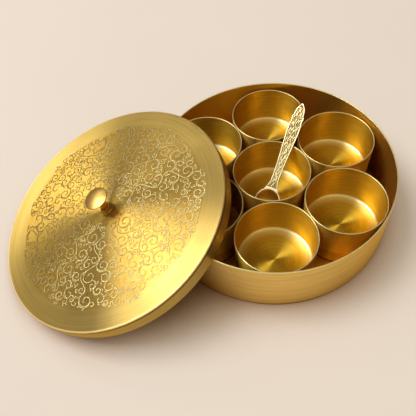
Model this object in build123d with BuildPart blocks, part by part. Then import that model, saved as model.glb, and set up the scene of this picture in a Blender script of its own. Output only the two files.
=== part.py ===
from build123d import *
import os
from math import asin, atan2, cos, degrees, radians, sin, sqrt

os.makedirs("parts", exist_ok=True)

# Driving sizes, in millimetres and degrees.
# The round box stands on z = 0 with its axis on Z, and the lid leans against its -X side.

# Cups, spun from brass sheet, with a floor that is set in above the foot
cup_rim_radius = 34.0
cup_base_radius = 32.8
cup_height = 48.5
cup_floor_rise = 11.5
cup_wall = 0.9
cup_corner = 2.4
cup_gap = 0.7
first_cup_azimuth = 15.4

# Box, which holds one cup in the middle and six around it
box_wall = 1.0
box_corner = 2.2
box_side_gap = 1.3
box_headroom = 6.5

# Lid, a shallow cap that slips over the box
lid_wall = 0.9
lid_slip_gap = 0.3
lid_skirt = 14.0
lid_shoulder = 1.4
lid_dome = 2.0
lid_rest_angle = 46.5
lid_seat_gap = 0.4

# Knob, its collar, and the screw and washer that hold them
knob_height = 20.8
knob_disc_radius = 10.6
knob_dish_depth = 2.6
knob_lip = 0.9
knob_neck_radius = 3.2
knob_bead_radius = 4.9
knob_bead_height = 2.2
collar_radius = 6.4
collar_top_radius = 3.9
collar_height = 3.4
collar_foot = 0.9
screw_radius = 2.0
screw_play = 0.1
screw_grip = 8.0
screw_spare = 1.5
screw_head_radius = 3.9
screw_head_height = 2.4
screw_head_round = 0.8
screw_slot_width = 1.0
screw_slot_depth = 1.1
washer_radius = 5.6
washer_thickness = 1.0

# Spoon, cast in one piece, leaning in the middle cup
spoon_length = 105.0
spoon_thickness = 1.7
spoon_panel_depth = 0.35
spoon_border = 1.1
bowl_radius = 11.8
bowl_lip = 1.0
bowl_depth = 3.8
bowl_wall = 1.2
bowl_past_axis = 22.0
spoon_seat_gap = 0.3
spoon_turn = 3.5
spoon_aside = 2.0
handle_point = 4.4
handle_point_half = 3.2
handle_shoulder = 11.5
handle_shoulder_half = 4.5
handle_belly = 26.0
handle_belly_half = 5.75
handle_waist = 47.0
handle_waist_half = 4.5
handle_neck = 9.9
handle_neck_half = 3.5
handle_step = 0.9
handle_belly_slope = 0.1
handle_flare_angle = 38.0

# Common to all pieces
edge_round = 0.3

# Sizes that follow
cup_ring_radius = 2 * cup_rim_radius + cup_gap
cup_rim_z = box_wall + cup_height
cup_floor_z = box_wall + cup_floor_rise
box_inner_radius = cup_ring_radius + cup_rim_radius + box_side_gap
box_radius = box_inner_radius + box_wall
box_height = cup_rim_z + box_headroom
lid_radius = box_radius + lid_slip_gap + lid_wall
lid_top_radius = lid_radius - lid_shoulder
lid_dome_radius = (lid_top_radius**2 + lid_dome**2) / (2 * lid_dome)


def dome_height(radius):
    """Height of the lid's top face above its shoulder, at a distance from the lid's axis."""
    return sqrt(lid_dome_radius**2 - radius**2) - (lid_dome_radius - lid_dome)


def upright(x, y, z):
    """Vertical plane at a place, whose own X runs along +X and whose own Y runs up."""
    return Plane(origin=(x, y, z), x_dir=(1, 0, 0), z_dir=(0, -1, 0))


# The lid leans on three points: the lowest point of its skirt is on z = 0, and the skirt's edge
# lies across the box's rim on both sides, at lid_rest_angle round the lid from its highest point.
lean_slope = asin((box_height + lid_seat_gap) / (lid_radius * (1 + cos(radians(lid_rest_angle)))))
rest_y = lid_radius * sin(radians(lid_rest_angle))
rest_x = -sqrt(box_radius**2 - rest_y**2)
lid_x = rest_x - lid_skirt * sin(lean_slope)
lid_x -= lid_radius * cos(radians(lid_rest_angle)) * cos(lean_slope)
lid_z = lid_radius * sin(lean_slope) + lid_skirt * cos(lean_slope)
lid_frame = Plane(
    origin=(lid_x, 0, lid_z),
    x_dir=(cos(lean_slope), 0, sin(lean_slope)),
    z_dir=(-sin(lean_slope), 0, cos(lean_slope)),
)
lid_section = Plane(origin=lid_frame.origin, x_dir=lid_frame.x_dir, z_dir=-lid_frame.y_dir)
lid_axis = Axis(lid_frame.origin, lid_frame.z_dir)

# Round box with a flat bottom and an upright wall
with BuildPart() as box_tray:
    with BuildSketch(upright(0, 0, 0)):
        with BuildLine():
            Polyline(
                (0, 0),
                (box_radius, 0),
                (box_radius, box_height),
                (box_inner_radius, box_height),
                (box_inner_radius, box_wall),
                (0, box_wall),
                close=True,
            )
        corners = make_face().vertices()
        rim = corners.group_by(Axis.Y)[-1]
        outside = corners.group_by(Axis.Y)[0].sort_by(Axis.X)[-1]
        inside = corners.group_by(Axis.Y)[1].sort_by(Axis.X)[-1]
        fillet(rim, edge_round)
        fillet(outside, box_corner)
        fillet(inside, box_corner - box_wall)
    revolve(axis=Axis.Z)
box_tray.part.label = "box_tray"
export_step(box_tray.part, "parts/box_tray.step")

# Seven equal cups, one in the middle of a ring of six
ring_names = [
    "cup_back_right",
    "cup_back",
    "cup_back_left",
    "cup_front_left",
    "cup_front",
    "cup_front_right",
]
cup_places = {"cup_centre": (0.0, 0.0)}
for step, cup_name in enumerate(ring_names):
    azimuth = radians(first_cup_azimuth + step * 360 / len(ring_names))
    cup_places[cup_name] = (cup_ring_radius * cos(azimuth), cup_ring_radius * sin(azimuth))

cup_taper = (cup_rim_radius - cup_base_radius) / cup_height
floor_under = cup_floor_rise - cup_wall
cup_inner_base = cup_base_radius - cup_wall
for cup_name, (cup_x, cup_y) in cup_places.items():
    with BuildPart() as cup:
        with BuildSketch(upright(cup_x, cup_y, box_wall)):
            with BuildLine():
                Polyline(
                    (0, floor_under),
                    (cup_inner_base + cup_taper * floor_under, floor_under),
                    (cup_inner_base, 0),
                    (cup_base_radius, 0),
                    (cup_rim_radius, cup_height),
                    (cup_rim_radius - cup_wall, cup_height),
                    (cup_inner_base + cup_taper * cup_floor_rise, cup_floor_rise),
                    (0, cup_floor_rise),
                    close=True,
                )
            foot, under, inside, rim = make_face().vertices().group_by(Axis.Y)
            fillet(foot, edge_round)
            fillet(under.sort_by(Axis.X)[-1], cup_corner)
            fillet(inside.sort_by(Axis.X)[-1], cup_corner)
            fillet(rim, edge_round)
        revolve(axis=Axis((cup_x, cup_y, 0), (0, 0, 1)))
    cup.part.label = cup_name
    export_step(cup.part, f"parts/{cup_name}.step")

# Lid: a low dome, a tight rounded shoulder and a short skirt, with a hole for the knob's screw
screw_hole_radius = screw_radius + screw_play
lid_inner_radius = lid_radius - lid_wall
with BuildPart() as lid_cover:
    with BuildSketch(lid_section):
        with BuildLine():
            ThreePointArc(
                (0, lid_dome),
                (lid_top_radius / 2, dome_height(lid_top_radius / 2)),
                (lid_top_radius, 0),
            )
            RadiusArc((lid_top_radius, 0), (lid_radius, -lid_shoulder), lid_shoulder)
            Line((lid_radius, -lid_shoulder), (lid_radius, -lid_skirt))
            Line((lid_radius, -lid_skirt), (lid_inner_radius, -lid_skirt))
            Line((lid_inner_radius, -lid_skirt), (lid_inner_radius, -lid_shoulder))
            RadiusArc(
                (lid_inner_radius, -lid_shoulder),
                (lid_top_radius, -lid_wall),
                -(lid_shoulder - lid_wall),
            )
            ThreePointArc(
                (lid_top_radius, -lid_wall),
                (lid_top_radius / 2, dome_height(lid_top_radius / 2) - lid_wall),
                (0, lid_dome - lid_wall),
            )
            Line((0, lid_dome - lid_wall), (0, lid_dome))
        skirt_edge = make_face().vertices().group_by(Axis.Y)[0]
        fillet(skirt_edge, edge_round)
    revolve(axis=lid_axis)
    with Locations(lid_frame):
        Hole(radius=screw_hole_radius)
lid_cover.part.label = "lid_cover"
export_step(lid_cover.part, "parts/lid_cover.step")

# Collar: a flared foot between the lid and the knob
collar_base = dome_height(screw_hole_radius)
knob_base = collar_base + collar_height
with BuildPart() as knob_collar:
    with BuildSketch(lid_section):
        with BuildLine():
            Line((screw_hole_radius, collar_base), (collar_radius, collar_base))
            Line((collar_radius, collar_base), (collar_radius, collar_base + collar_foot))
            TangentArc(
                (collar_radius, collar_base + collar_foot),
                (collar_top_radius, knob_base),
                tangent=(-1, 0),
            )
            Line((collar_top_radius, knob_base), (screw_hole_radius, knob_base))
            Line((screw_hole_radius, knob_base), (screw_hole_radius, collar_base))
        make_face()
    revolve(axis=lid_axis)
knob_collar.part.label = "knob_collar"
export_step(knob_collar.part, "parts/knob_collar.step")

# Knob: a bead, a slim neck and a dished disc with a thin lip, turned in one piece
bead_top = knob_base + knob_bead_height
knob_top = collar_base + knob_height
disc_under = knob_top - knob_lip
neck_top = disc_under - 2 * knob_dish_depth
knob_bore_top = knob_base + screw_grip + screw_spare
with BuildPart() as lid_knob:
    with BuildSketch(lid_section):
        with BuildLine():
            Line((0, knob_base), (collar_top_radius, knob_base))
            ThreePointArc(
                (collar_top_radius, knob_base),
                (knob_bead_radius, knob_base + knob_bead_height / 2),
                (collar_top_radius, bead_top),
            )
            Line((collar_top_radius, bead_top), (knob_neck_radius, bead_top))
            Line((knob_neck_radius, bead_top), (knob_neck_radius, neck_top))
            Bezier(
                (knob_neck_radius, neck_top),
                (knob_neck_radius, disc_under - knob_dish_depth),
                (knob_disc_radius, disc_under),
            )
            RadiusArc(
                (knob_disc_radius, disc_under),
                (knob_disc_radius - knob_lip, knob_top),
                -knob_lip,
            )
            RadiusArc(
                (knob_disc_radius - knob_lip, knob_top),
                (0, knob_top - knob_dish_depth),
                ((knob_disc_radius - knob_lip) ** 2 + knob_dish_depth**2) / (2 * knob_dish_depth),
            )
            Line((0, knob_top - knob_dish_depth), (0, knob_base))
        make_face()
    revolve(axis=lid_axis)
    with BuildSketch(lid_frame.offset(knob_base)):
        Circle(screw_hole_radius)
    extrude(amount=knob_bore_top - knob_base, mode=Mode.SUBTRACT)
lid_knob.part.label = "lid_knob"
export_step(lid_knob.part, "parts/lid_knob.step")

# Washer, flat against the dome's underside
washer_top = dome_height(washer_radius) - lid_wall
washer_base = washer_top - washer_thickness
with BuildPart() as knob_washer:
    with BuildSketch(lid_frame.offset(washer_base)):
        Circle(washer_radius)
        Circle(screw_hole_radius, mode=Mode.SUBTRACT)
    extrude(amount=washer_thickness)
knob_washer.part.label = "knob_washer"
export_step(knob_washer.part, "parts/knob_washer.step")

# Slotted screw, put in from under the lid and held in the knob
with BuildPart() as knob_screw:
    with BuildSketch(lid_frame.offset(washer_base)):
        Circle(screw_radius)
    extrude(amount=knob_base + screw_grip - washer_base)
    with BuildSketch(lid_frame.offset(washer_base)):
        Circle(screw_head_radius)
    extrude(amount=-screw_head_height)
    head_rim = knob_screw.faces().sort_by(lid_axis)[0].edges()
    fillet(head_rim, screw_head_round)
    with BuildSketch(lid_frame.offset(washer_base - screw_head_height)):
        Rectangle(2 * screw_head_radius, screw_slot_width)
    extrude(amount=screw_slot_depth, mode=Mode.SUBTRACT)
knob_screw.part.label = "knob_screw"
export_step(knob_screw.part, "parts/knob_screw.step")

# The spoon leans over the gap between the two cups at the back right. Its bowl's front lip is on the
# middle cup's floor, past the cup's axis and a little aside of it, and its handle lies on the rim.
spoon_azimuth = radians(first_cup_azimuth + 180 / len(ring_names) + spoon_turn)
rim_reach = sqrt((cup_rim_radius - cup_wall) ** 2 - (handle_waist_half + spoon_aside) ** 2)
rest_run = rim_reach + bowl_past_axis
rest_rise = cup_rim_z - cup_floor_z
spoon_slope = atan2(rest_rise, rest_run)
spoon_lift = spoon_thickness / 2 + spoon_seat_gap
bowl_run = bowl_radius * cos(spoon_slope) - spoon_lift * sin(spoon_slope)
bowl_rise = bowl_radius * sin(spoon_slope) + spoon_lift * cos(spoon_slope)
bowl_along = bowl_run - bowl_past_axis
bowl_place = (
    bowl_along * cos(spoon_azimuth) + spoon_aside * sin(spoon_azimuth),
    bowl_along * sin(spoon_azimuth) - spoon_aside * cos(spoon_azimuth),
    cup_floor_z + bowl_rise,
)
spoon_face = Plane(
    origin=bowl_place,
    x_dir=(
        cos(spoon_slope) * cos(spoon_azimuth),
        cos(spoon_slope) * sin(spoon_azimuth),
        sin(spoon_slope),
    ),
    z_dir=(
        -sin(spoon_slope) * cos(spoon_azimuth),
        -sin(spoon_slope) * sin(spoon_azimuth),
        cos(spoon_slope),
    ),
)
spoon_section = Plane(origin=bowl_place, x_dir=spoon_face.x_dir, z_dir=-spoon_face.y_dir)
bowl_axis = Axis(bowl_place, spoon_face.z_dir)

# Places along the spoon, measured from the bowl's middle up the handle. The neck is set off from
# the bowl's edge, and the handle's shoulder, belly and waist from its tip.
tip_x = spoon_length - bowl_radius
shoulder_x = tip_x - handle_shoulder
belly_x = tip_x - handle_belly
waist_x = tip_x - handle_waist
neck_x = bowl_radius + handle_neck
flare_x = bowl_radius * cos(radians(handle_flare_angle))
flare_y = bowl_radius * sin(radians(handle_flare_angle))
panel_end_x = bowl_radius + spoon_border
panel_end_half = handle_neck_half
lip_z = spoon_thickness / 2
bowl_inner_radius = bowl_radius - bowl_lip
bowl_under_radius = bowl_radius - edge_round
bowl_belly = bowl_depth + bowl_wall - spoon_thickness
bowl_round = (bowl_under_radius**2 + bowl_belly**2) / (2 * bowl_belly)
dish_round = (bowl_inner_radius**2 + bowl_depth**2) / (2 * bowl_depth)


def handle_edge(inset):
    """Half of the handle's edge, from its pointed tip to its neck, drawn in by an inset."""
    shoulder = (shoulder_x, handle_shoulder_half - inset)
    step_end = (shoulder_x - handle_step, handle_shoulder_half + handle_step - inset)
    ThreePointArc(
        (tip_x - inset, 0),
        (tip_x - inset - handle_point, handle_point_half - inset),
        shoulder,
    )
    Line(shoulder, step_end)
    Spline(
        step_end,
        (belly_x, handle_belly_half - inset),
        (waist_x, handle_waist_half - inset),
        (neck_x, handle_neck_half - inset),
        tangents=((-1, handle_belly_slope), (-1, 0)),
    )


with BuildPart() as spoon:
    with BuildSketch(spoon_face.offset(-lip_z)):
        with BuildLine():
            handle_edge(0)
            TangentArc((neck_x, handle_neck_half), (flare_x, flare_y), tangent=(-1, 0))
            Line((flare_x, flare_y), (0, 0))
            Line((0, 0), (tip_x, 0))
        make_face()
        mirror(about=Plane.XZ)
        Circle(bowl_radius)
    extrude(amount=spoon_thickness)
    with BuildSketch(spoon_section):
        with BuildLine():
            Line((0, -lip_z), (bowl_under_radius, -lip_z))
            RadiusArc((bowl_under_radius, -lip_z), (0, -lip_z - bowl_belly), bowl_round)
            Line((0, -lip_z - bowl_belly), (0, -lip_z))
        make_face()
    revolve(axis=bowl_axis)
    with BuildSketch(spoon_section):
        with BuildLine():
            Line((0, lip_z), (bowl_inner_radius, lip_z))
            RadiusArc((bowl_inner_radius, lip_z), (0, lip_z - bowl_depth), dish_round)
            Line((0, lip_z - bowl_depth), (0, lip_z))
        make_face()
    revolve(axis=bowl_axis, mode=Mode.SUBTRACT)
    with BuildSketch(spoon_face.offset(lip_z)):
        with BuildLine():
            handle_edge(spoon_border)
            Line((neck_x, handle_neck_half - spoon_border), (panel_end_x, panel_end_half))
            Line((panel_end_x, panel_end_half), (panel_end_x, 0))
            Line((panel_end_x, 0), (tip_x - spoon_border, 0))
        make_face()
        mirror(about=Plane.XZ)
    extrude(amount=-spoon_panel_depth, mode=Mode.SUBTRACT)
spoon.part.label = "spoon"
export_step(spoon.part, "parts/spoon.step")

print("box outside diameter", round(2 * box_radius, 2), "height", round(box_height, 2))
print("lid slope", round(degrees(lean_slope), 2), "centre", round(lid_x, 2), round(lid_z, 2))
print("spoon slope", round(degrees(spoon_slope), 2))
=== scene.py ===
import math
import random

import bpy
import numpy as np
from mathutils import Matrix, Vector


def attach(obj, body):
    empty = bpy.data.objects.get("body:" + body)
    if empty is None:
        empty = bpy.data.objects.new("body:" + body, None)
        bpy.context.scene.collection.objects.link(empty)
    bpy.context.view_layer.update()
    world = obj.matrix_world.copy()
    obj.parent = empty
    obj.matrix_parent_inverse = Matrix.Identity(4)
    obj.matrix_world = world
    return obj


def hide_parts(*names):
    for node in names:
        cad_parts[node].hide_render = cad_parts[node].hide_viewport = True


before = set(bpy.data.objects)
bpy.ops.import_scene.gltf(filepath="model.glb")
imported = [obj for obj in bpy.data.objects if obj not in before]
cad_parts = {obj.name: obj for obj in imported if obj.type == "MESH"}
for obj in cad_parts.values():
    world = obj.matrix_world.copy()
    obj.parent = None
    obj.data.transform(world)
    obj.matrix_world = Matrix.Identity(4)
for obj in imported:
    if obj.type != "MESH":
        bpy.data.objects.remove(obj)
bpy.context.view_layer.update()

MM = 0.001

# Sizes of the box, the cups and the lid, in millimetres and degrees
BOX_RADIUS = 105.0
BOX_HEIGHT = 56.0
BOX_WALL = 1.0
BOX_CORNER = 2.2
CUP_RIM = 34.0
CUP_BASE = 32.8
CUP_HEIGHT = 48.5
CUP_WALL = 0.9
CUP_FLOOR = 11.5
CUP_CORNER = 2.4
CUP_RING = 68.7
FIRST_CUP = 15.4
LID_RADIUS = 106.2
LID_WALL = 0.9
LID_SKIRT = 14.0
LID_SHOULDER = 1.4
LID_DOME = 2.0
LID_REST = 46.5
LID_SEAT = 0.4
EDGE = 0.3

# Colours of the metal, linear, and of the highlights and shade painted onto it
BOX_BRASS = (0.88, 0.645, 0.23)
BOX_INSIDE_SHADE = (0.78, 0.48, 0.07)
CUP_BRASS = (0.75, 0.475, 0.045)
CUP_FLOOR_HIGHLIGHT = (0.98, 0.83, 0.34)
CUP_CORNER_HIGHLIGHT = (1.0, 0.90, 0.50)
CUP_OUTSIDE_LIT = (0.92, 0.60, 0.09)
CUP_FOOT_SHADE = (0.25, 0.12, 0.012)
LID_BRASS = (0.58, 0.405, 0.105)
LID_SPECKS = (0.46, 0.255, 0.018)
LID_EDGE_HIGHLIGHT = (0.92, 0.70, 0.30)
LID_SHOULDER_SHADE = (0.22, 0.12, 0.02)
SCROLL_BRASS = (0.57, 0.48, 0.21)
SCROLL_SHADE = (0.08, 0.04, 0.006)
KNOB_BRASS = (0.63, 0.41, 0.10)
KNOB_NECK_SHADE = (0.72, 0.34, 0.035)
KNOB_FOOT_SHADE = (0.42, 0.21, 0.025)
SPOON_GROUND = (0.23, 0.15, 0.055)
SPOON_BRASS = (0.72, 0.65, 0.35)
SPOON_EDGE = (0.95, 0.88, 0.56)
SPOON_BOWL_SHADE = (0.86, 0.55, 0.12)
RIM_HIGHLIGHT = (1.0, 0.87, 0.42)
GRAZING = (1.0, 0.74, 0.28)

# Grain of the metal: counts per metre, depths in millimetres, and shares
RINGS = 900.0
RING_SWEEP = 1.6
RING_DEPTH = 0.02
RING_SHADE = 0.2
CLOUDS = 22.0
SPECKS = 620.0
TOOTH = 900.0
TOOTH_DEPTH = 0.03
TOOTH_SHADE = 0.15
NOISE_SPAN = (0.3, 0.7)
ROUGH_SPAN = (0.88, 1.14)
SPECK_SPAN = (0.42, 0.62)
SPECK_SHARE = 0.5
SPECK_LEAST = 0.25
LIGHTER = 0.4
MOTTLE_SOFT = 3
NEAR_AXIS = 0.5 * MM
FROM_WINDOW = (0.8, -0.6, 0)
COAT_ROUGHNESS = 0.35

# What the limits of a band measure: mm of height, mm from the axis, or how far the surface turns away
# from the window
HEIGHT, OUT, AWAY = 0, 1, 2

# The colour sockets of a Mix node
MIX_LOW, MIX_HIGH, MIX_RESULT = 6, 7, 2


def link(obj):
    bpy.context.scene.collection.objects.link(obj)
    return obj


def arc(centre, radius, start, end, steps):
    """Points along an arc in the section plane, angles in degrees."""
    turns = [math.radians(start + (end - start) * i / steps) for i in range(steps + 1)]
    return [(centre[0] + radius * math.cos(t), centre[1] + radius * math.sin(t)) for t in turns]


def dense(points, most):
    """The same path with no step longer than most."""
    out = [points[0]]
    for a, b in zip(points, points[1:]):
        n = max(1, math.ceil(math.dist(a, b) / most))
        out += [(a[0] + (b[0] - a[0]) * i / n, a[1] + (b[1] - a[1]) * i / n) for i in range(1, n + 1)]
    return out


def smooth_mesh(name, verts, faces):
    """A mesh whose faces are shaded smooth."""
    mesh = bpy.data.meshes.new(name)
    mesh.from_pydata(verts, [], faces)
    mesh.validate()
    mesh.polygons.foreach_set("use_smooth", [True] * len(mesh.polygons))
    mesh.update()
    return mesh


def lathe(name, profile, steps):
    """A turned mesh: a section of (radius, height) points from axis to axis, or a closed ring."""
    closed = math.dist(profile[0], profile[-1]) < 1e-9
    if closed:
        profile = profile[:-1]
    verts = []
    rings = []
    for r, z in profile:
        if r < 1e-6:
            rings.append([len(verts)])
            verts.append((0, 0, z * MM))
            continue
        rings.append(list(range(len(verts), len(verts) + steps)))
        for k in range(steps):
            t = 2 * math.pi * k / steps
            verts.append((r * math.cos(t) * MM, r * math.sin(t) * MM, z * MM))
    faces = []
    pairs = list(zip(rings, rings[1:]))
    if closed:
        pairs.append((rings[-1], rings[0]))
    for a, b in pairs:
        for k in range(steps):
            n = (k + 1) % steps
            if len(a) == 1:
                faces.append((a[0], b[n], b[k]))
            elif len(b) == 1:
                faces.append((a[k], a[n], b[0]))
            else:
                faces.append((a[k], a[n], b[n], b[k]))
    return smooth_mesh(name, verts, faces)


def piece(name, mesh, matrix, material, body, node):
    """A piece that rides on a body. Pieces that share a mesh share its material."""
    obj = link(bpy.data.objects.new(name, mesh))
    obj.matrix_world = matrix
    if not mesh.materials:
        mesh.materials.append(material)
    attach(obj, body)
    if node:
        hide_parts(node)


# Node materials


def new_material(name):
    mat = bpy.data.materials.new(name)
    mat.use_nodes = True
    tree = mat.node_tree
    tree.nodes.clear()
    out = tree.nodes.new("ShaderNodeOutputMaterial")
    shader = tree.nodes.new("ShaderNodeBsdfPrincipled")
    tree.links.new(shader.outputs["BSDF"], out.inputs["Surface"])
    return mat, tree, shader


def preset(node, **values):
    """Sets inputs by name, with an underscore for each space."""
    for name, value in values.items():
        node.inputs[name.replace("_", " ")].default_value = value


def maths(tree, operation, a, b=None):
    node = tree.nodes.new("ShaderNodeMath")
    node.operation = operation
    for socket, value in zip(node.inputs, (a, b)):
        if value is None:
            continue
        if isinstance(value, (int, float)):
            socket.default_value = value
        else:
            tree.links.new(value, socket)
    return node.outputs[0]


def mixed(tree, share, low, high):
    """A colour between low, where share is 0, and high, where share is 1."""
    node = tree.nodes.new("ShaderNodeMix")
    node.data_type = "RGBA"
    tree.links.new(share, node.inputs["Factor"])
    for socket, value in ((node.inputs[MIX_LOW], low), (node.inputs[MIX_HIGH], high)):
        if isinstance(value, tuple):
            socket.default_value = value + (1,)
        else:
            tree.links.new(value, socket)
    return node.outputs[MIX_RESULT]


def position(tree):
    """The coordinates of the object itself: the node, then x, y and z, then the distance from the Z axis."""
    coord = tree.nodes.new("ShaderNodeTexCoord")
    split = tree.nodes.new("ShaderNodeSeparateXYZ")
    tree.links.new(coord.outputs["Object"], split.inputs[0])
    x, y, z = split.outputs
    squares = [maths(tree, "MULTIPLY", v, v) for v in (x, y)]
    return coord, (x, y, z), maths(tree, "SQRT", maths(tree, "ADD", *squares))


def facing(tree, direction, vector):
    """How far a direction of the surface points along a vector."""
    node = tree.nodes.new("ShaderNodeVectorMath")
    node.operation = "DOT_PRODUCT"
    tree.links.new(direction, node.inputs[0])
    node.inputs[1].default_value = vector
    return node.outputs["Value"]


def fade(tree, value, start, end):
    """A smooth share that is 0 at start and 1 at end."""
    node = tree.nodes.new("ShaderNodeMapRange")
    node.interpolation_type = "SMOOTHSTEP"
    preset(node, From_Min=start, From_Max=end)
    tree.links.new(value, node.inputs["Value"])
    return node.outputs[0]


def noise(tree, vector, scale, detail=3.0, roughness=0.5):
    node = tree.nodes.new("ShaderNodeTexNoise")
    preset(node, Scale=scale, Detail=detail, Roughness=roughness)
    tree.links.new(vector, node.inputs["Vector"])
    return node.outputs["Fac"]


def clouded(tree, fac, low, high):
    """A colour that runs between two with a noise."""
    ramp = tree.nodes.new("ShaderNodeValToRGB")
    for element, spot, colour in zip(ramp.color_ramp.elements, NOISE_SPAN, (low, high)):
        element.position = spot
        element.color = colour + (1,)
    tree.links.new(fac, ramp.inputs["Fac"])
    return ramp.outputs["Color"]


def shaded(tree, fac, colour, shade):
    """A colour that a noise makes a little darker or lighter."""
    low = tuple(c * (1 - shade) for c in colour)
    high = tuple(min(1, c * (1 + shade * LIGHTER)) for c in colour)
    return clouded(tree, fac, low, high)


def bumped(tree, shader, fac, depth):
    node = tree.nodes.new("ShaderNodeBump")
    preset(node, Strength=1.0, Distance=depth * MM)
    tree.links.new(fac, node.inputs["Height"])
    tree.links.new(node.outputs[0], shader.inputs["Normal"])


def turned_brass(name, colour, roughness, anisotropic=0.75, rotation=0.25, coat=0.0, bands=(), mottle=None):
    """Brass worked on a lathe: fine rings about the piece's own Z, and highlights drawn out across them.

    Each band is a colour, its share of metal, and the limits that it fades in between. No more than one band
    has less than a full share of metal. Mottle is the radius that a speckled ground reaches.
    """
    mat, tree, shader = new_material(name)
    coord, (x, y, z), radius = position(tree)
    own = coord.outputs["Object"]
    off_axis = maths(tree, "MAXIMUM", radius, NEAR_AXIS)
    join = tree.nodes.new("ShaderNodeCombineXYZ")
    for socket, v in zip(join.inputs, (x, y)):
        tree.links.new(maths(tree, "MULTIPLY", maths(tree, "DIVIDE", v, off_axis), RING_SWEEP), socket)
    along = maths(tree, "SUBTRACT", radius, z)
    tree.links.new(maths(tree, "MULTIPLY", along, RINGS), join.inputs[2])
    fine = noise(tree, join.outputs[0], 1.0, detail=4.0, roughness=0.65)
    cloud = noise(tree, own, CLOUDS)
    tone = shaded(tree, fine, colour, RING_SHADE)
    if mottle:
        speck = fade(tree, noise(tree, own, SPECKS, detail=2.0), *SPECK_SPAN)
        within = fade(tree, radius, (mottle + MOTTLE_SOFT) * MM, (mottle - MOTTLE_SOFT) * MM)
        depth = maths(tree, "ADD", maths(tree, "MULTIPLY", speck, SPECK_SHARE), SPECK_LEAST)
        tone = mixed(tree, maths(tree, "MULTIPLY", depth, within), tone, LID_SPECKS)
    measures = (z, radius, facing(tree, coord.outputs["Normal"], FROM_WINDOW))
    for band, metal, limits in bands:
        share = 1.0
        for measure, start, end in limits:
            unit = 1 if measure == AWAY else MM
            share = maths(tree, "MULTIPLY", fade(tree, measures[measure], start * unit, end * unit), share)
        tone = mixed(tree, share, tone, band)
        if metal < 1:
            bare = maths(tree, "MULTIPLY", share, 1 - metal)
            tree.links.new(maths(tree, "SUBTRACT", 1.0, bare), shader.inputs["Metallic"])
    tree.links.new(tone, shader.inputs["Base Color"])
    rough = tree.nodes.new("ShaderNodeMapRange")
    preset(rough, From_Min=NOISE_SPAN[0], From_Max=NOISE_SPAN[1])
    preset(rough, To_Min=roughness * ROUGH_SPAN[0], To_Max=roughness * ROUGH_SPAN[1])
    tree.links.new(cloud, rough.inputs["Value"])
    tree.links.new(rough.outputs[0], shader.inputs["Roughness"])
    bumped(tree, shader, fine, RING_DEPTH)
    tangent = tree.nodes.new("ShaderNodeTangent")
    tangent.direction_type = "RADIAL"
    tangent.axis = "Z"
    tree.links.new(tangent.outputs[0], shader.inputs["Tangent"])
    preset(shader, Metallic=1.0, Specular_Tint=GRAZING + (1,))
    preset(shader, Coat_Weight=coat, Coat_Roughness=COAT_ROUGHNESS)
    preset(shader, Anisotropic=anisotropic, Anisotropic_Rotation=rotation)
    return mat


def spoon_brass(roughness, carved, border, dish):
    """Brass with a fine matt tooth: bright carving and borders over a dark ground, and a bowl painted a
    deeper amber, as painted shade and reflection of the cup that it lies in.

    Carved and border are the heights that their tones fade in between, and dish is two distances from the
    bowl's axis.
    """
    mat, tree, shader = new_material("spoon brass")
    coord, (_, _, z), radius = position(tree)
    fine = noise(tree, coord.outputs["Object"], TOOTH)
    bumped(tree, shader, fine, TOOTH_DEPTH)
    preset(shader, Metallic=1.0, Roughness=roughness, Specular_Tint=GRAZING + (1,))
    height = maths(tree, "ABSOLUTE", z)
    tone = mixed(tree, fade(tree, height, *carved), SPOON_GROUND, SPOON_BRASS)
    tone = mixed(tree, fade(tree, height, *border), tone, shaded(tree, fine, SPOON_EDGE, TOOTH_SHADE))
    # Painted shade and amber reflection: the bowl is a deeper amber than the handle
    tone = mixed(tree, fade(tree, radius, *dish), tone, SPOON_BOWL_SHADE)
    tree.links.new(tone, shader.inputs["Base Color"])
    return mat


# The brass of each piece, with its bands
# Painted shade and interreflection: the inside of the box is a darker, deeper amber copy of the box brass
box_inside_shade = (BOX_INSIDE_SHADE, 1.0, ((OUT, BOX_RADIUS - 0.3, BOX_RADIUS - 0.6), (HEIGHT, 0.3, 0.8)))
# Painted highlight: a pale, partly non-metal band along the top of the box's rim
box_rim_highlight = (RIM_HIGHLIGHT, 0.6, ((HEIGHT, BOX_HEIGHT - 0.6, BOX_HEIGHT - 0.5),))
box_mat = turned_brass("box brass", BOX_BRASS, roughness=0.34, bands=(box_inside_shade, box_rim_highlight))

# Painted highlight: a pale ring round the outer part of each cup's floor
bottom_low = (HEIGHT, CUP_FLOOR + 2, CUP_FLOOR + 0.8)
cup_floor_highlight = (CUP_FLOOR_HIGHLIGHT, 1.0, (bottom_low, (OUT, 22, 31), (OUT, 32.7, 32.4)))
# Painted highlight: a thin bright line where each cup's floor meets its wall
line_low = (HEIGHT, CUP_FLOOR + 1.8, CUP_FLOOR + 1.1)
cup_corner_highlight = (CUP_CORNER_HIGHLIGHT, 1.0, ((OUT, 30.0, 30.9), (OUT, 32.25, 31.9), line_low))
# Painted light: the outside of each cup is a paler, yellower copy of the cup brass than its inside
cup_outside_lit = (CUP_OUTSIDE_LIT, 1.0, ((OUT, 33.12, 33.25),))
# Painted shade: each cup is dark brown at its foot, where it stands on the box's floor
cup_foot_shade = (CUP_FOOT_SHADE, 1.0, ((HEIGHT, 3.0, 0.8),))
# Painted highlight: a pale, partly non-metal band along the top of each cup's rim
cup_rim_highlight = (RIM_HIGHLIGHT, 0.7, ((HEIGHT, CUP_HEIGHT - 0.35, CUP_HEIGHT - 0.25),))
cup_bands = (cup_floor_highlight, cup_corner_highlight, cup_outside_lit, cup_foot_shade, cup_rim_highlight)
cup_mat = turned_brass("cup brass", CUP_BRASS, roughness=0.41, anisotropic=0.9, bands=cup_bands)

# Painted highlight: a pale, slightly non-metal line round the lid's top edge, on its shoulder
lid_edge_highlight = (LID_EDGE_HIGHLIGHT, 0.9, ((HEIGHT, -1.1, -0.7), (OUT, 104.8, 105.1)))
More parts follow.
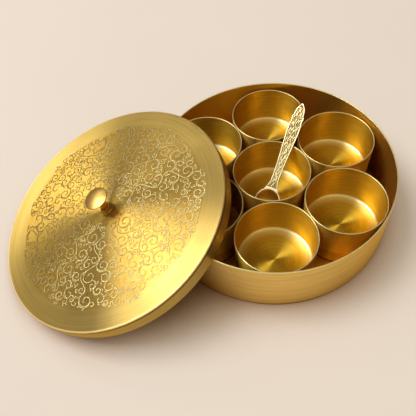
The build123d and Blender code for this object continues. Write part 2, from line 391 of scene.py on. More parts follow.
# Painted shade: a thin dark band round the outside of the lid's shoulder, just above the skirt
lid_shoulder_shade = (LID_SHOULDER_SHADE, 1.0, ((HEIGHT, -3.4, -2.8), (HEIGHT, -0.9, -1.3), (OUT, 105.2, 105.6)))
lid_mat = turned_brass(
    "lid brass",
    LID_BRASS,
    roughness=0.39,
    anisotropic=0.92,
    rotation=0.223,
    coat=0.15,
    bands=(lid_edge_highlight, lid_shoulder_shade),
    mottle=88,
)

shade_side = (SCROLL_SHADE, 1.0, ((AWAY, 0.04, 0.14),))
scroll_mat = turned_brass(
    "scroll brass",
    SCROLL_BRASS,
    roughness=0.41,
    anisotropic=0.6,
    rotation=0.475,
    coat=0.1,
    bands=(shade_side,),
)

# Painted shade: the knob is a deeper amber below its disc, and darker still at its bead and collar near the
# lid
neck = (KNOB_NECK_SHADE, 1.0, ((HEIGHT, 19.5, 18.5),))
foot = (KNOB_FOOT_SHADE, 1.0, ((HEIGHT, 9.5, 8.5),))
knob_mat = turned_brass(
    "knob brass",
    KNOB_BRASS,
    roughness=0.36,
    anisotropic=0.1,
    coat=0.35,
    bands=(neck, foot),
)

spoon_mat = spoon_brass(
    roughness=0.32,
    carved=(0.5 * MM, 0.68 * MM),
    border=(0.75 * MM, 0.81 * MM),
    dish=(11.0 * MM, 10.6 * MM),
)

# Box
inner = BOX_RADIUS - BOX_WALL
corner_in = BOX_CORNER - BOX_WALL
box_profile = [(0, 0)]
box_profile += arc((BOX_RADIUS - BOX_CORNER, BOX_CORNER), BOX_CORNER, -90, 0, 10)
box_profile += arc((BOX_RADIUS - EDGE, BOX_HEIGHT - EDGE), EDGE, 0, 90, 5)
box_profile += arc((inner + EDGE, BOX_HEIGHT - EDGE), EDGE, 90, 180, 5)
box_profile += arc((inner - corner_in, BOX_WALL + corner_in), corner_in, 0, -90, 8)
box_profile += [(0, BOX_WALL)]
box_mesh = lathe("box tray", dense(box_profile, most=2.0), steps=256)
piece("box_turned", box_mesh, Matrix(), box_mat, "box", "box_tray")

# Cups
taper = (CUP_RIM - CUP_BASE) / CUP_HEIGHT
inner_base = CUP_BASE - CUP_WALL
under = CUP_FLOOR - CUP_WALL
low_bend = under - CUP_CORNER
high_bend = CUP_FLOOR + CUP_CORNER
cup_profile = [(0, under)]
cup_profile += arc((inner_base + taper * low_bend - CUP_CORNER, low_bend), CUP_CORNER, 90, 0, 8)
cup_profile += arc((inner_base + EDGE, EDGE), EDGE, 180, 270, 4)
cup_profile += arc((CUP_BASE - EDGE, EDGE), EDGE, -90, 0, 4)
cup_profile += arc((CUP_RIM - EDGE, CUP_HEIGHT - EDGE), EDGE, 0, 90, 5)
cup_profile += arc((CUP_RIM - CUP_WALL + EDGE, CUP_HEIGHT - EDGE), EDGE, 90, 180, 5)
cup_profile += arc((inner_base + taper * high_bend - CUP_CORNER, high_bend), CUP_CORNER, 0, -90, 8)
cup_profile += [(0, CUP_FLOOR)]
cup_mesh = lathe("cup", dense(cup_profile, most=1.5), steps=160)
ring = ["cup_back_right", "cup_back", "cup_back_left", "cup_front_left", "cup_front", "cup_front_right"]
places = {"cup_centre": (0.0, 0.0)}
for i, name in enumerate(ring):
    t = math.radians(FIRST_CUP + 360 / len(ring) * i)
    places[name] = (CUP_RING * math.cos(t), CUP_RING * math.sin(t))
for name, (x, y) in places.items():
    spot = Matrix.Translation((x * MM, y * MM, BOX_WALL * MM))
    piece(name + "_turned", cup_mesh, spot, cup_mat, name, name)

# Lid
top_radius = LID_RADIUS - LID_SHOULDER
dome_radius = (top_radius**2 + LID_DOME**2) / (2 * LID_DOME)


def dome(r):
    """Height of the lid's top at a distance from its axis."""
    return math.sqrt(dome_radius**2 - r**2) - (dome_radius - LID_DOME)


rest = math.radians(LID_REST)
slope = math.asin((BOX_HEIGHT + LID_SEAT) / (LID_RADIUS * (1 + math.cos(rest))))
rest_y = LID_RADIUS * math.sin(rest)
lid_x = -math.sqrt(BOX_RADIUS**2 - rest_y**2) - LID_SKIRT * math.sin(slope)
lid_x -= LID_RADIUS * math.cos(rest) * math.cos(slope)
lid_z = LID_RADIUS * math.sin(slope) + LID_SKIRT * math.cos(slope)
lid_place = Matrix.Translation((lid_x * MM, 0, lid_z * MM)) @ Matrix.Rotation(-slope, 4, "Y")

TOP_STEPS = 60
UNDER_STEPS = 30
outside = [top_radius * i / TOP_STEPS for i in range(TOP_STEPS + 1)]
inside = [top_radius * i / UNDER_STEPS for i in reversed(range(UNDER_STEPS))]
lid_profile = [(r, dome(r)) for r in outside]
lid_profile += arc((top_radius, -LID_SHOULDER), LID_SHOULDER, 84, 0, 8)
lid_profile += arc((LID_RADIUS - EDGE, EDGE - LID_SKIRT), EDGE, 0, -90, 4)
lid_profile += arc((LID_RADIUS - LID_WALL + EDGE, EDGE - LID_SKIRT), EDGE, -90, -180, 4)
lid_profile += arc((top_radius, -LID_SHOULDER), LID_SHOULDER - LID_WALL, 0, 90, 5)
lid_profile += [(r, dome(r) - LID_WALL) for r in inside]
lid_mesh = lathe("lid", dense(lid_profile, most=2.0), steps=320)
piece("lid_turned", lid_mesh, lid_place, lid_mat, "lid", "lid_cover")

# Collar under the knob, which flares in from a rounded foot
SCREW_HOLE = 2.1
COLLAR_RADIUS = 6.4
COLLAR_ROUND = 6.1
COLLAR_HEIGHT = 3.4
COLLAR_FLARE = 2.5
collar_base = dome(SCREW_HOLE)
knob_base = collar_base + COLLAR_HEIGHT
collar_profile = [(SCREW_HOLE, collar_base), (COLLAR_ROUND, collar_base)]
collar_profile += arc((COLLAR_ROUND, collar_base + EDGE), EDGE, -90, 0, 4)
collar_profile += arc((COLLAR_ROUND, collar_base + 2 * EDGE), EDGE, 0, 90, 4)
collar_profile += arc((COLLAR_RADIUS, knob_base), COLLAR_FLARE, -90, -180, 10)
collar_profile += [(SCREW_HOLE, knob_base), (SCREW_HOLE, collar_base)]
collar_mesh = lathe("collar", dense(collar_profile, most=0.6), steps=96)
piece("collar_turned", collar_mesh, lid_place, knob_mat, "lid", "knob_collar")

# Knob: a bead, a neck that flares out, and a domed disc
KNOB_HEIGHT = 20.8
BEAD_FLAT = 3.6
BEAD_CENTRE = (3.795, 1.1)
BEAD_RADIUS = 1.105
BEAD_TOP = 2.2
NECK_RADIUS = 3.2
FLARE_HEIGHT = 4.0
FLARE_BEND = 1.6
FLARE_RADIUS = 10.6
FLARE_STEPS = 24
DISC_HEIGHT = 2.1
DISC_ROUND = 9.95
DISC_EDGE = 0.65
knob_top = collar_base + KNOB_HEIGHT
disc_under = knob_top - DISC_HEIGHT
neck_top = disc_under - FLARE_HEIGHT
knob_profile = [(0, knob_base), (BEAD_FLAT, knob_base)]
knob_profile += arc((BEAD_CENTRE[0], knob_base + BEAD_CENTRE[1]), BEAD_RADIUS, -84, 84, 14)
knob_profile += [(NECK_RADIUS, knob_base + BEAD_TOP), (NECK_RADIUS, neck_top)]
for i in range(1, FLARE_STEPS + 1):
    t = i / FLARE_STEPS
    start, bend, end = (1 - t) ** 2, 2 * t * (1 - t), t**2
    out = start * NECK_RADIUS + bend * NECK_RADIUS + end * FLARE_RADIUS
    up = start * neck_top + bend * (disc_under - FLARE_BEND) + end * disc_under
    knob_profile.append((out, up))
knob_profile += arc((DISC_ROUND, disc_under), DISC_EDGE, 10, 75, 8)
crown_out, crown_up = knob_profile[-1]
knob_rise = knob_top - crown_up
crown = (crown_out**2 + knob_rise**2) / (2 * knob_rise)
reach = math.degrees(math.asin(crown_out / crown))
knob_profile += arc((0, knob_top - crown), crown, 90 - reach, 90, 24)[1:]
knob_profile[-1] = (0, knob_profile[-1][1])
knob_mesh = lathe("knob", dense(knob_profile, most=0.7), steps=128)
piece("knob_turned", knob_mesh, lid_place, knob_mat, "lid", "lid_knob")
for name in ("knob_washer", "knob_screw"):
    for part_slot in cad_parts[name].material_slots:
        part_slot.material = knob_mat

# Vine scrollwork: how its lines are drawn
SCROLL_CLOSE = 0.8
SCROLL_CURVE = 1.35
SCROLL_POINTS = 10
TURN_POINTS = 14
POINTS_PER_MM = 5
LEAF_STEPS = 16
LEAF_BROAD = 0.95
LEAF_SHARP = 1.3
LINE_WIDTH = 1.0
LINE_TOP = 0.17
INNER_WIDTH = 0.8
INNER_TOP = 0.15
LEAF_TOP = 0.13
LINE_FOOT = -0.05
LINE_SECTION = ((-0.5, False), (-0.2, True), (0.2, True), (0.5, False))
LINE_START = 0.45
LINE_GROWTH = 0.55
LINE_GROWS = 4
STUD_RADIUS = 0.5
STUD_FLAT = 0.6
STUD_TOP = 0.14
LEAF_STUD_TOP = 0.12
STUD_CROWN = 1.2
STUD_STEPS = 8


def narrowed(r, share):
    """A scroll's radius a share of the way in."""
    return r * (1 - SCROLL_CLOSE * share**SCROLL_CURVE)


def spiral(x, y, r, sign, start, turns):
    """A scroll that starts on a circle and winds in towards its middle."""
    steps = max(SCROLL_POINTS, int(turns * max(TURN_POINTS, POINTS_PER_MM * r)))
    out = []
    for i in range(steps + 1):
        t = i / steps
        a = start + sign * t * turns * 2 * math.pi
        rr = narrowed(r, t)
        out.append((x + rr * math.cos(a), y + rr * math.sin(a)))
    return out


def leaf(x, y, r, start):
    """A pointed leaf whose point is on its circle."""
    out = []
    for i in range(LEAF_STEPS + 1):
        t = 2 * math.pi * i / LEAF_STEPS
        u, v = r * math.cos(t), LEAF_BROAD * r * math.sin(t) * abs(math.sin(t / 2)) ** LEAF_SHARP
        px = x + u * math.cos(start) - v * math.sin(start)
        py = y + u * math.sin(start) + v * math.cos(start)
        out.append((px, py))
    return out


def on_lid(x, y, z):
    """A vertex that stands z above the lid's top."""
    return (x * MM, y * MM, (dome(math.hypot(x, y)) + z) * MM)


def ribbon(verts, faces, path, width, top, taper=True):
    """A low flat-topped ridge along a path on the lid."""
    n = len(path)
    first = len(verts)
    for i, (x, y) in enumerate(path):
        a = path[max(0, i - 1)]
        b = path[min(n - 1, i + 1)]
        d = math.dist(a, b) or 1
        nx, ny = -(b[1] - a[1]) / d, (b[0] - a[0]) / d
        w = width * (LINE_START + LINE_GROWTH * min(1, i / LINE_GROWS)) if taper else width
        for side, raised in LINE_SECTION:
            verts.append(on_lid(x + nx * w * side, y + ny * w * side, top if raised else LINE_FOOT))
    row = len(LINE_SECTION)
    for i in range(n - 1):
        for k in range(row - 1):
            a = first + row * i + k
            faces.append((a, a + 1, a + row + 1, a + row))


def stud(verts, faces, x, y, top):
    """A small round stud on the lid."""
    first = len(verts)
    for rr, z in ((STUD_RADIUS, LINE_FOOT), (STUD_RADIUS * STUD_FLAT, top)):
        for k in range(STUD_STEPS):
            t = 2 * math.pi * k / STUD_STEPS
            verts.append(on_lid(x + rr * math.cos(t), y + rr * math.sin(t), z))
    verts.append(on_lid(x, y, top * STUD_CROWN))
    upper, tip = first + STUD_STEPS, first + 2 * STUD_STEPS
    for k in range(STUD_STEPS):
        n = (k + 1) % STUD_STEPS
        faces.append((first + k, first + n, upper + n, upper + k))
        faces.append((upper + k, upper + n, tip))


# Vine scrollwork: where its lines go. A pair is the least and the most of a random draw
SEED = 11
ROUND = 6.28
WAVES = (5, 9, 14, 23)
WAVE_HEIGHT = (0.6, 1.8)
FIELD_IN = 11.5
FIELD_OUT = 88.5
STEMS = 9
STEM_TURN = 0.3
STEM_START = 16
STEM_RUN = 64
STEM_STEPS = 56
STEM_BEND = (0.16, 0.3)
STEM_BEAT = (20, 30)
STEM_LEAN = (-0.5, 0.5)
STEM_STIFF = 14
STEM_HALF = 0.3
FIRST_SCROLL = 3
NEXT_SCROLL = (3, 4, 5)
LARGEST = (4.8, 6.6)
SMALLER = (4.2, 3.2, 2.3, 1.6)
STEM_SCROLL_TURNS = (1.0, 1.5)
CLEAR_OF_STEM = 0.5
CLEAR_OF_SCROLL = 0.6
NEAR_ROOT = 1.3
GROWN_GAP = 0.55
GROWN_TURNS = (0.75, 1.45)
GROWN_FIRST = 0.06
GROWN_LAST = 0.62
GROWN_SHARE = 0.6
# Least and greatest radius in each round of growth, and the tries from each scroll
GROWTH = ((4.2, 6.2, 24), (2.6, 3.8, 30), (1.7, 2.6, 34), (1.0, 1.7, 34))
LEAF_SIZE = (1.6, 4)
LEAF_CHANCE = 0.16
SMALL = 2
SMALL_TURNS = 0.7
STUD_FROM = 1.8
INNER_FROM = 3
INNER_CHANCE = 0.6
INNER_GAP = 0.85
INNER_MORE = 0.1

rng = random.Random(SEED)
edge_waves = [(rng.uniform(*WAVE_HEIGHT), n, rng.uniform(0, ROUND)) for n in WAVES]


def in_field(x, y, r):
    """Whether a circle is inside the field of scrolls, whose outer edge wanders."""
    far = math.hypot(x, y)
    a = math.atan2(y, x)
    outer = FIELD_OUT + sum(w * math.sin(n * a + p) for w, n, p in edge_waves)
    return far - r > FIELD_IN and far + r < outer


def clearances(spots, x, y, r):
    """How far a circle stays clear of each of the others."""
    return np.hypot(spots[:, 0] - x, spots[:, 1] - y) - spots[:, 2] - r


def grow(placed, posts):
    """Scrolls that touch like wheels, each wound the other way from the one that it springs from."""
    spots = np.array([q[:3] for q in placed] + posts)
    owner = list(range(len(placed))) + [-1] * len(posts)
    for low_size, high_size, tries in GROWTH:
        first = 0
        while first < len(placed):
            x, y, r, sign, start, turns = placed[first]
            for _ in range(tries):
                t = rng.uniform(GROWN_FIRST, min(GROWN_LAST, GROWN_SHARE * turns))
                size = rng.uniform(low_size, high_size)
                a = start + sign * t * 2 * math.pi
                rr = narrowed(r, t / turns)
                px, py = x + rr * math.cos(a), y + rr * math.sin(a)
                nx, ny = px + size * math.cos(a), py + size * math.sin(a)
                if not in_field(nx, ny, size):
                    continue
                space = clearances(spots, nx, ny, size)
                # The scroll that it springs from doesn't count
                space[owner.index(first)] = math.inf
                if space.min() < GROWN_GAP:
                    continue
                owner.append(len(placed))
                placed.append([nx, ny, size, -sign, a + math.pi, rng.uniform(*GROWN_TURNS)])
                spots = np.vstack([spots, [nx, ny, size]])
            first += 1


stems = []
for k in range(STEMS):
    a = 2 * math.pi * (k + STEM_TURN) / STEMS
    bend, beat, lag = rng.uniform(*STEM_BEND), rng.uniform(*STEM_BEAT), rng.uniform(0, ROUND)
    lean = rng.uniform(*STEM_LEAN)
    path = []
    for i in range(STEM_STEPS + 1):
        far = STEM_START + STEM_RUN * i / STEM_STEPS
        sway = bend * math.sin(ROUND * far / beat + lag) * (STEM_START + STEM_STIFF) / (far + STEM_STIFF)
        b = a + lean * (far - STEM_START) / STEM_RUN + sway
        path.append((far * math.cos(b), far * math.sin(b)))
    stems.append(path)
posts = [[x, y, STEM_HALF] for path in stems for x, y in path]

scrolls = []
spots = np.zeros((0, 3))
for path in stems:
    side = rng.choice((-1, 1))
    i = FIRST_SCROLL
    while i < len(path) - 2:
        (x0, y0), (x1, y1) = path[i - 1], path[i + 1]
        d = math.dist((x0, y0), (x1, y1))
        nx, ny = -(y1 - y0) / d * side, (x1 - x0) / d * side
        for size in (rng.uniform(*LARGEST), *SMALLER):
            x, y = path[i][0] + nx * size, path[i][1] + ny * size
            others = np.array([q for q in posts if math.dist(q[:2], path[i]) > size * NEAR_ROOT])
            near = clearances(others, x, y, size).min()
            room = clearances(spots, x, y, size).min(initial=math.inf)
            if in_field(x, y, size) and near > CLEAR_OF_STEM and room > CLEAR_OF_SCROLL:
                turns = rng.uniform(*STEM_SCROLL_TURNS)
                scrolls.append([x, y, size, side, math.atan2(-ny, -nx), turns])
                spots = np.vstack([spots, [x, y, size]])
                break
        side = -side
        i += rng.choice(NEXT_SCROLL)
grow(scrolls, posts)

verts, faces = [], []
for path in stems:
    ribbon(verts, faces, path, LINE_WIDTH, LINE_TOP)
for x, y, r, sign, start, turns in scrolls:
    if LEAF_SIZE[0] < r < LEAF_SIZE[1] and rng.random() < LEAF_CHANCE:
        ribbon(verts, faces, leaf(x, y, r, start), INNER_WIDTH, LEAF_TOP, taper=False)
        stud(verts, faces, x, y, LEAF_STUD_TOP)
        continue
    path = spiral(x, y, r, sign, start, turns if r > SMALL else SMALL_TURNS)
    ribbon(verts, faces, path, LINE_WIDTH, LINE_TOP)
    if r > INNER_FROM and rng.random() < INNER_CHANCE:
        # A finer line inside the scroll, which starts and ends on it
        inner = path[len(path) // 12 : len(path) // 2]
        deep = (INNER_GAP + INNER_MORE * r) / r
        bow = [1 - deep * math.sin(math.pi * i / (len(inner) - 1)) for i in range(len(inner))]
        inner = [(x + (px - x) * b, y + (py - y) * b) for (px, py), b in zip(inner, bow)]
        ribbon(verts, faces, inner, INNER_WIDTH, INNER_TOP)
    if r > STUD_FROM:
        stud(verts, faces, *path[-1], STUD_TOP)
scroll_mesh = bpy.data.meshes.new("scrollwork")
scroll_mesh.from_pydata(verts, [], faces)
scroll_mesh.update()
piece("lid_scrollwork", scroll_mesh, lid_place, scroll_mat, "lid", None)

# Spoon: where it lies, on the middle cup's floor and over its rim
SPOON_LENGTH = 105.0
BOWL_RADIUS = 11.8
SPOON_HALF = 0.85
SPOON_ASIDE = 2.0
PAST_AXIS = 22.0
NECK_FAR = SPOON_LENGTH - 2 * BOWL_RADIUS - 9.9
HANDLE_HALF = 4.5
AFTER_FIRST_CUP = 33.5
CLEARANCE = 0.3
tip_x = SPOON_LENGTH - BOWL_RADIUS
spoon_turn = math.radians(FIRST_CUP + AFTER_FIRST_CUP)
rim_reach = math.sqrt((CUP_RIM - CUP_WALL) ** 2 - (HANDLE_HALF + SPOON_ASIDE) ** 2)
spoon_slope = math.atan2(CUP_HEIGHT - CUP_FLOOR, rim_reach + PAST_AXIS)
lift = SPOON_HALF + CLEARANCE
run = BOWL_RADIUS * math.cos(spoon_slope) - lift * math.sin(spoon_slope) - PAST_AXIS
rise = BOWL_RADIUS * math.sin(spoon_slope) + lift * math.cos(spoon_slope) + BOX_WALL + CUP_FLOOR
level, steep = math.cos(spoon_slope), math.sin(spoon_slope)
east, north = math.cos(spoon_turn), math.sin(spoon_turn)
spoon_x = Vector((level * east, level * north, steep))
spoon_z = Vector((-steep * east, -steep * north, level))
spoon_y = spoon_z.cross(spoon_x)
bowl_x = run * east + SPOON_ASIDE * north
bowl_y = run * north - SPOON_ASIDE * east
spoon_place = Matrix.Translation(Vector((bowl_x, bowl_y, rise)) * MM)
spoon_place = spoon_place @ Matrix((spoon_x, spoon_y, spoon_z)).transposed().to_4x4()

# Spoon: its outline, as half widths at distances from the tip
TIP_RADIUS = 14.26
TIP_CENTRE = 10.44
TIP_ASIDE = 9.72
SHOULDER_FAR = 11.5
NOTCH_FAR = 12.4
NECK_HALF = 3.5
NECK_FLARE = 22.33
OUTLINE = (
    (NOTCH_FAR, 5.5, 0.1),
    (17.5, 5.1, 0.0),
    (19.5, 5.55, 0.1),
    (26, 5.75, -0.02),
    (47, 4.5, -0.06),
    (NECK_FAR, NECK_HALF, 0.0),
)


def hermite(x, knots):
    """A smooth curve through (x, y, slope) knots."""
    for (x0, y0, m0), (x1, y1, m1) in zip(knots, knots[1:]):
        if x <= x1:
            h = x1 - x0
            t = (x - x0) / h
            return (
                (2 * t**3 - 3 * t**2 + 1) * y0
                + (t**3 - 2 * t**2 + t) * h * m0
                + (-2 * t**3 + 3 * t**2) * y1
                + (t**3 - t**2) * h * m1
            )
    return knots[-1][1]


def half_width(far):
    """Half of the handle's width at a distance from its tip."""
    if far < SHOULDER_FAR:
        return max(0.0, -TIP_ASIDE + math.sqrt(max(0.0, TIP_RADIUS**2 - (far - TIP_CENTRE) ** 2)))
    if far < NOTCH_FAR:
        return HANDLE_HALF + (far - SHOULDER_FAR)
    if far < NECK_FAR:
        return hermite(far, OUTLINE)
    return NECK_HALF + NECK_FLARE - math.sqrt(NECK_FLARE**2 - (far - NECK_FAR) ** 2)


# Spoon: the lines of its carving, as short straight pieces on the handle
PANEL = (4.0, 81.0)
PANEL_BORDER = 1.4
STRANDS = 4
STRAND_APART = 0.52
STRAND_SWAY = 0.17
STRAND_STEP = 0.3
CURLS = 22
CURL_FIRST = 3.0
CURL_SPARE = 8.0
CURL_ASIDE = 0.55
CURL_SIZE = 0.2
CURL_TURNS = 0.8
CURL_TURN = 1.3
CURL_SWING = 2.1
bits = []
for k in range(STRANDS):
    # Every other strand sways a little faster, and none keeps an even beat
    beat, lag, slow_lag = 0.8 + 0.09 * (k % 2), 2.6 * k, 1.9 * k
    path = []
    for x in np.arange(PANEL[0], PANEL[1], STRAND_STEP):
        sway = math.sin(beat * x + lag + 0.8 * math.sin(0.37 * x + slow_lag))
        place = STRAND_APART * (k - (STRANDS - 1) / 2) + STRAND_SWAY * sway
        path.append((x, (half_width(x) - PANEL_BORDER) * place))
    path = np.array(path)
    bits.append(np.hstack([path[:-1], path[1:]]))
for k in range(CURLS):
    x = PANEL[0] + CURL_FIRST + (PANEL[1] - PANEL[0] - CURL_SPARE) * k / CURLS
    y = (half_width(x) - PANEL_BORDER) * CURL_ASIDE * math.sin(CURL_SWING * k)
    path = np.array(spiral(x, y, CURL_SIZE * half_width(x), (-1) ** k, CURL_TURN * k, CURL_TURNS))
    bits.append(np.hstack([path[:-1], path[1:]]))
bits = np.vstack(bits)

# Spoon: the grid of its handle, closer together at its sides
ACROSS = 65
CROWD = 0.93
FLARE_ANGLE = 38
FLARE_FADE = 4
BOWL_LAP = 0.5
HANDLE_END = 12.4
TIP_STATIONS = (0.02, 3, 14)
HANDLE_STATIONS = (3.2, NECK_FAR + HANDLE_END, 420)
stations = np.concatenate([np.linspace(*TIP_STATIONS), np.linspace(*HANDLE_STATIONS)])
across = np.sin(np.linspace(-1, 1, ACROSS) * math.pi / 2 * CROWD) / math.sin(math.pi / 2 * CROWD)
flare_x = BOWL_RADIUS * math.cos(math.radians(FLARE_ANGLE))
grid = []
for far in stations:
    w = half_width(far)
    for share in across:
        y = w * share
        x = tip_x - far
        past = math.sqrt(max(0.0, (BOWL_RADIUS - BOWL_LAP) ** 2 - y**2)) - flare_x
        x += past * math.exp(-(x - flare_x) / FLARE_FADE)
        grid.append((x, y, w * (1 - abs(share)), far))
grid = np.array(grid)
grid_x, grid_y, from_side, from_tip = grid.T


def ramped(v, a, b):
    t = np.clip((v - a) / (b - a), 0, 1)
    return t * t * (3 - 2 * t)


# Spoon: the depth of its panel and the height of its carving, in millimetres
PANEL_DEPTH = 0.38
PANEL_END = 10.6
PANEL_SIDE = (0.85, 1.25)
TIP_BORDER = 0.45
CARVING_LOW = 0.12
CARVING_LINE = (0.22, 0.42)
CARVING_SIDE = (1.35, 1.75)
FAR_OFF = 9.0
LOT = 200
points = np.stack([tip_x - grid_x, grid_y], axis=1)
near = np.full(len(points), FAR_OFF)
for lot in np.array_split(bits, max(1, len(bits) // LOT)):
    a, b = lot[:, :2], lot[:, 2:]
    d = b - a
    size = np.maximum((d**2).sum(1), 1e-9)
    t = np.clip(((points[:, None] - a) * d).sum(2) / size, 0, 1)
    near = np.minimum(near, np.sqrt(((points[:, None] - a - t[..., None] * d) ** 2).sum(2)).min(1))
from_edge = np.minimum(from_side, from_tip * TIP_BORDER)
from_end = np.minimum(from_edge, NECK_FAR + PANEL_END - from_tip)
sunk = PANEL_DEPTH * ramped(from_end, *PANEL_SIDE)
lines = (1 - ramped(near, *CARVING_LINE)) * ramped(from_end, *CARVING_SIDE)
carved = np.maximum(sunk - CARVING_LOW, 0) * lines
edge_drop = EDGE * (1 - np.sqrt(np.clip(1 - np.clip(1 - from_side / EDGE, 0, 1) ** 2, 0, 1)))
top = SPOON_HALF - sunk + carved - edge_drop
under = -SPOON_HALF + edge_drop
verts = [(x * MM, y * MM, z * MM) for side in (top, under) for x, y, z in zip(grid_x, grid_y, side)]
half_count = len(grid)
faces = []
for i in range(len(stations) - 1):
    for k in range(ACROSS - 1):
        a = i * ACROSS + k
        b = a + ACROSS
        faces.append((a, a + 1, b + 1, b))
        faces.append((half_count + a, half_count + b, half_count + b + 1, half_count + a + 1))
    for k in (0, ACROSS - 1):
        a = i * ACROSS + k
        quad = (a, a + ACROSS, half_count + a + ACROSS, half_count + a)
        faces.append(quad if k == 0 else quad[::-1])

# Spoon: its bowl, a deep dish with a rounded edge
BOWL_UNDER = 21.69
BOWL_DEPTH = 4.15
BOWL_INSIDE = 17.25
INSIDE_DEPTH = 2.95
LIP_OUT = 11.5
LIP_HALF = 0.55
LIP_IN = (11.05, 0.6)
LIP_IN_EDGE = 0.25
INSIDE_OUT = 10.75
under_reach = math.degrees(math.asin(LIP_OUT / BOWL_UNDER))
inside_reach = math.degrees(math.asin(INSIDE_OUT / BOWL_INSIDE))
bowl_profile = arc((0, BOWL_UNDER - BOWL_DEPTH), BOWL_UNDER, -90, -90 + under_reach, 24)
bowl_profile += arc((LIP_OUT, -LIP_HALF), EDGE, -90, 0, 4) + arc((LIP_OUT, LIP_HALF), EDGE, 0, 90, 4)
bowl_profile += arc(LIP_IN, LIP_IN_EDGE, 90, 150, 3)
bowl_profile += arc((0, BOWL_INSIDE - INSIDE_DEPTH), BOWL_INSIDE, -90 + inside_reach, -90, 30)
bowl_profile[0] = (0, bowl_profile[0][1])
bowl_profile[-1] = (0, bowl_profile[-1][1])
bowl = lathe("bowl", bowl_profile, steps=96)
first = len(verts)
verts += [tuple(v.co) for v in bowl.vertices]
faces += [tuple(first + v for v in poly.vertices) for poly in bowl.polygons]
bpy.data.meshes.remove(bowl)
spoon_mesh = smooth_mesh("spoon", verts, faces)
piece("spoon_carved", spoon_mesh, spoon_place, spoon_mat, "spoon", "spoon")

# Camera, as fitted to the rims in the photo, which is 416 pixels wide
FOCAL_PIXELS = 497.31
PHOTO_WIDTH = 416
SENSOR = 36.0
azimuth = math.radians(-7.161)
elevation = math.radians(54.611)
roll = math.radians(-7.671)
distance = 477.77 * MM
target = Vector((-58.89, 10.94, 0)) * MM
cam_data = bpy.data.cameras.new("camera")
cam = link(bpy.data.objects.new("camera", cam_data))
bpy.context.scene.camera = cam
flat = math.cos(elevation)
back = Vector((math.sin(azimuth) * flat, -math.cos(azimuth) * flat, math.sin(elevation)))
right = Vector((math.cos(azimuth), math.sin(azimuth), 0))
up = back.cross(right)
turned_right = math.cos(roll) * right + math.sin(roll) * up
turned_up = -math.sin(roll) * right + math.cos(roll) * up
rotation = Matrix((turned_right, turned_up, back)).transposed().to_4x4()
cam.matrix_world = Matrix.Translation(target + back * distance) @ rotation
cam_data.sensor_width = SENSOR
cam_data.lens = FOCAL_PIXELS / PHOTO_WIDTH * SENSOR
cam_data.clip_start = 0.01
cam_data.clip_end = 50.0

# Floor, pale where it is open, with a painted warm brown shadow in shelter, and a painted glow that lifts it
# where it is open and is warm in shelter
FLOOR_HALF = 6.0
FLOOR_LOW = (0.57, 0.514, 0.473)
FLOOR_HIGH = (0.60, 0.54, 0.497)
FLOOR_SHADOW = (0.19, 0.08, 0.015)
FLOOR_CLOUDS = 3.0
SHELTER_REACH = 0.08
OPEN_AIR = (0.3, 0.78)
CLEAR = (0.28, 0.9)
GLOW = 0.26
GLOW_SHADOW = (1.0, 0.55, 0.22)
GLOW_CLEAR = (1.0, 0.88, 0.75)
corners = [(x * FLOOR_HALF, y * FLOOR_HALF, 0) for x, y in ((-1, -1), (1, -1), (1, 1), (-1, 1))]
floor_mesh = bpy.data.meshes.new("floor")
floor_mesh.from_pydata(corners, [], [(0, 1, 2, 3)])
floor = link(bpy.data.objects.new("floor", floor_mesh))
floor_mat, tree, shader = new_material("floor")
coord = tree.nodes.new("ShaderNodeTexCoord")
cloud = noise(tree, coord.outputs["Object"], FLOOR_CLOUDS, detail=4.0)
tone = clouded(tree, cloud, FLOOR_LOW, FLOOR_HIGH)
shelter = tree.nodes.new("ShaderNodeAmbientOcclusion")
preset(shelter, Distance=SHELTER_REACH)
open_air = fade(tree, shelter.outputs["AO"], *OPEN_AIR)
clear = fade(tree, shelter.outputs["AO"], *CLEAR)
tree.links.new(mixed(tree, clear, FLOOR_SHADOW, tone), shader.inputs["Base Color"])
preset(shader, Roughness=0.85)
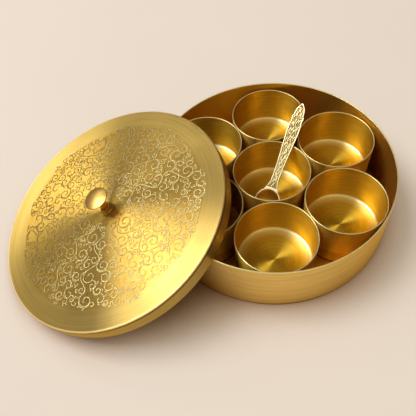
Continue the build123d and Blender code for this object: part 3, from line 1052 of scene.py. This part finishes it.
# Painted light: the floor glows, most where it is open, and warmer where it is sheltered
tree.links.new(mixed(tree, clear, GLOW_SHADOW, GLOW_CLEAR), shader.inputs["Emission Color"])
tree.links.new(maths(tree, "MULTIPLY", open_air, GLOW), shader.inputs["Emission Strength"])
floor_mesh.materials.append(floor_mat)
bpy.context.scene.view_settings.view_transform = "Standard"


# Lights
def area(name, place, aim, size, power, colour):
    data = bpy.data.lights.new(name, "AREA")
    data.shape = "SQUARE"
    data.size = size
    data.energy = power
    data.color = colour
    lamp = link(bpy.data.objects.new(name, data))
    way = Vector(place) - Vector(aim)
    lamp.matrix_world = Matrix.Translation(place) @ way.to_track_quat("Z", "Y").to_matrix().to_4x4()


area("key", (-2.34, 1.0, 3.87), (-0.05, 0, 0), size=2.4, power=160, colour=(1.0, 0.985, 0.975))
area("fill", (-1.255, 2.088, 1.895), (-0.145, 0, 0.05), size=0.6, power=5.4, colour=(1.0, 0.97, 0.93))

# The room: warm grey below, and paler towards the ceiling in front
BRIGHT_SIDE = (-0.05, -0.45, 0.88)
# Places along the ramp and their levels, then green and blue as shares that rise with the place
ROOM_LEVELS = ((0.0, 0.08), (0.5, 0.14), (0.75, 0.30), (0.9, 0.62), (1.0, 0.85))
ROOM_GREEN = (0.75, 0.09)
ROOM_BLUE = (0.42, 0.16)
world = bpy.data.worlds.new("world")
bpy.context.scene.world = world
world.use_nodes = True
tree = world.node_tree
background = tree.nodes["Background"]
coord = tree.nodes.new("ShaderNodeTexCoord")
bright = facing(tree, coord.outputs["Generated"], Vector(BRIGHT_SIDE).normalized())
ramp = tree.nodes.new("ShaderNodeValToRGB")
while len(ramp.color_ramp.elements) < len(ROOM_LEVELS):
    ramp.color_ramp.elements.new(0.5)
for element, (spot, level) in zip(ramp.color_ramp.elements, ROOM_LEVELS):
    green, blue = (level * (least + more * spot) for least, more in (ROOM_GREEN, ROOM_BLUE))
    element.position = spot
    element.color = (level, green, blue, 1)
tree.links.new(bright, ramp.inputs["Fac"])
tree.links.new(ramp.outputs["Color"], background.inputs["Color"])
preset(background, Strength=1.0)
